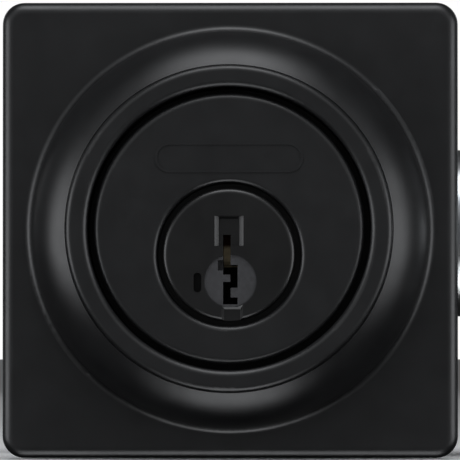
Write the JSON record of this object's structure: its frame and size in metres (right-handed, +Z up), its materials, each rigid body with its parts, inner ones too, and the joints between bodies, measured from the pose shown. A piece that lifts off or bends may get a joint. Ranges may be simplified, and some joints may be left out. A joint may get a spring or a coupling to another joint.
{
  "type": "deadbolt door lock",
  "caption": "Deadbolt door lock with a square rose, domed ring, spinning guard collar, keyed plug, thumbturn and a sliding bolt driven by a turning hub.",
  "frame": {"origin": "centre of the cross bore, in the plane of the door's outside face", "axes": "+Y from the exterior through the door to the room, +X along the bolt's throw, +Z up"},
  "size_m": [0.0936, 0.0887, 0.0666],
  "materials": {
    "black_finish": "satin black powder coat on cast zinc",
    "black_plug": "satin black plated plug",
    "black_screws": "black oxide",
    "cast_zinc": "as-cast zinc",
    "zinc_steel": "zinc-plated steel",
    "spring_steel": "spring steel",
    "hardened_steel": "hardened steel",
    "bolt_steel": "satin steel",
    "brass": "plain brass",
    "white_nylon": "natural nylon"
  },
  "bodies": {
    "housing": {"exterior_rose": "black_finish", "cylinder_body": "black_finish", "interior_rose": "black_finish", "latch_faceplate": "black_finish", "faceplate_screws": "black_screws", "rose_set_screw": "black_screws", "exterior_housing": "cast_zinc", "cylinder_screws": "zinc_steel", "collar_washer": "spring_steel", "drill_guards": "hardened_steel", "latch_case_left": "zinc_steel", "latch_case_right": "zinc_steel", "case_spacers": "zinc_steel", "latch_sleeve": "zinc_steel", "latch_backplate": "zinc_steel", "interior_mount_plate": "zinc_steel", "mounting_screws": "zinc_steel", "thumbturn_bushing": "white_nylon"},
    "collar": {"guard_collar": "black_finish", "collar_retainer": "spring_steel"},
    "plug": {"key_plug": "black_plug", "sidebar": "brass", "plug_clip": "spring_steel", "wafer_spring_1": "spring_steel", "wafer_spring_2": "spring_steel", "wafer_spring_3": "spring_steel", "wafer_spring_4": "spring_steel", "wafer_spring_5": "spring_steel"},
    "blade": {"torque_blade": "zinc_steel"},
    "hub": {"hub_cam": "cast_zinc"},
    "bolt": {"deadbolt": "bolt_steel", "bolt_roller_pin": "hardened_steel", "bolt_link_left": "zinc_steel", "bolt_link_right": "zinc_steel", "drive_pins": "hardened_steel", "link_rivet": "zinc_steel"},
    "turn": {"thumbturn": "black_finish", "thumbturn_spindle": "cast_zinc", "thumbturn_washer": "spring_steel", "thumbturn_clip": "spring_steel"},
    "wafer_1_body": {"wafer_1": "brass"},
    "wafer_2_body": {"wafer_2": "brass"},
    "wafer_3_body": {"wafer_3": "brass"},
    "wafer_4_body": {"wafer_4": "brass"},
    "wafer_5_body": {"wafer_5": "brass"}
  },
  "joints": [
    {"name": "thumb_turn", "type": "hinge", "parent": "housing", "child": "turn", "pos_m": [0, 0.05645, -0.00375], "axis": [0, 1, 0], "range_deg": [0, 90]},
    {"name": "plug_turn", "type": "hinge", "parent": "housing", "child": "plug", "pos_m": [0, 0, -0.00375], "axis": [0, 1, 0], "range_deg": [0, 90]},
    {"name": "blade_turn", "type": "hinge", "parent": "housing", "child": "blade", "pos_m": [0, 0.02223, -0.00375], "axis": [0, 1, 0], "range_deg": [0, 90]},
    {"name": "hub_turn", "type": "hinge", "parent": "housing", "child": "hub", "pos_m": [0, 0.02223, -0.00375], "axis": [0, 1, 0], "range_deg": [0, 90]},
    {"name": "bolt_throw", "type": "slide", "parent": "housing", "child": "bolt", "axis": [1, 0, 0], "range_m": [0, 0.0254]},
    {"name": "collar_spin", "type": "hinge", "parent": "housing", "child": "collar", "pos_m": [0, -0.01, 0], "axis": [0, 1, 0], "continuous": true},
    {"name": "wafer_1_lift", "type": "slide", "parent": "plug", "child": "wafer_1_body", "axis": [0, 0, 1], "range_m": [0, 0.0015], "stiffness_N_per_m": 20, "springref_m": -0.002, "deforming": ["wafer_spring_1"]},
    {"name": "wafer_2_lift", "type": "slide", "parent": "plug", "child": "wafer_2_body", "axis": [0, 0, 1], "range_m": [0, 0.0015], "stiffness_N_per_m": 20, "springref_m": -0.002, "deforming": ["wafer_spring_2"]},
    {"name": "wafer_3_lift", "type": "slide", "parent": "plug", "child": "wafer_3_body", "axis": [0, 0, 1], "range_m": [0, 0.0015], "stiffness_N_per_m": 20, "springref_m": -0.002, "deforming": ["wafer_spring_3"]},
    {"name": "wafer_4_lift", "type": "slide", "parent": "plug", "child": "wafer_4_body", "axis": [0, 0, 1], "range_m": [0, 0.0015], "stiffness_N_per_m": 20, "springref_m": -0.002, "deforming": ["wafer_spring_4"]},
    {"name": "wafer_5_lift", "type": "slide", "parent": "plug", "child": "wafer_5_body", "axis": [0, 0, 1], "range_m": [0, 0.0015], "stiffness_N_per_m": 20, "springref_m": -0.002, "deforming": ["wafer_spring_5"]}
  ],
  "couplings": [
    {"joint": "plug_turn", "follows": "thumb_turn", "ratio": 1},
    {"joint": "blade_turn", "follows": "thumb_turn", "ratio": 1},
    {"joint": "hub_turn", "follows": "thumb_turn", "ratio": 1},
    {"joint": "bolt_throw", "follows": "thumb_turn", "m_per_rad": 0.01617}
  ]
}
